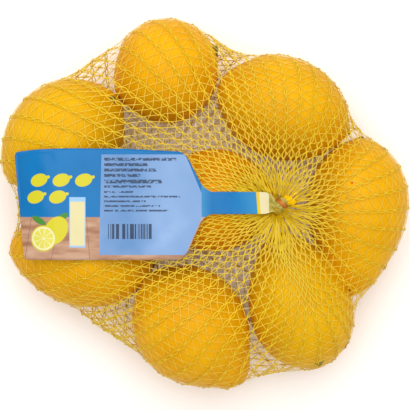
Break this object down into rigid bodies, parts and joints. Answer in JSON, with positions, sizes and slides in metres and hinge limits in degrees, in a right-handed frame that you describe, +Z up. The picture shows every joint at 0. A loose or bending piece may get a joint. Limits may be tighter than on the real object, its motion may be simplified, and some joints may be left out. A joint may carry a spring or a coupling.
{
  "type": "net bag of lemons",
  "caption": "Knitted net bag lying flat, filled one deep with lemons, gathered at both ends by a metal clip, with a printed card label, without lettering, held by one clip across the top.",
  "frame": {"origin": "on the ground, under the middle of the bag's outer box", "axes": "+Z up from the ground, +X from the label's free end towards the clip, +Y across the label"},
  "size_m": [0.2344, 0.213, 0.0644],
  "materials": {
    "net": "glossy yellow plastic thread, knitted",
    "lemon": "waxed lemon peel with fine pores",
    "stem": "dry green and brown stem button",
    "label": "printed blue film over card, glossy",
    "clip": "copper coloured crimped wire"
  },
  "bodies": {
    "root": {"net_bag": "net", "label": "label", "top_clip": "clip", "base_clip": "clip"}
  },
  "joints": []
}
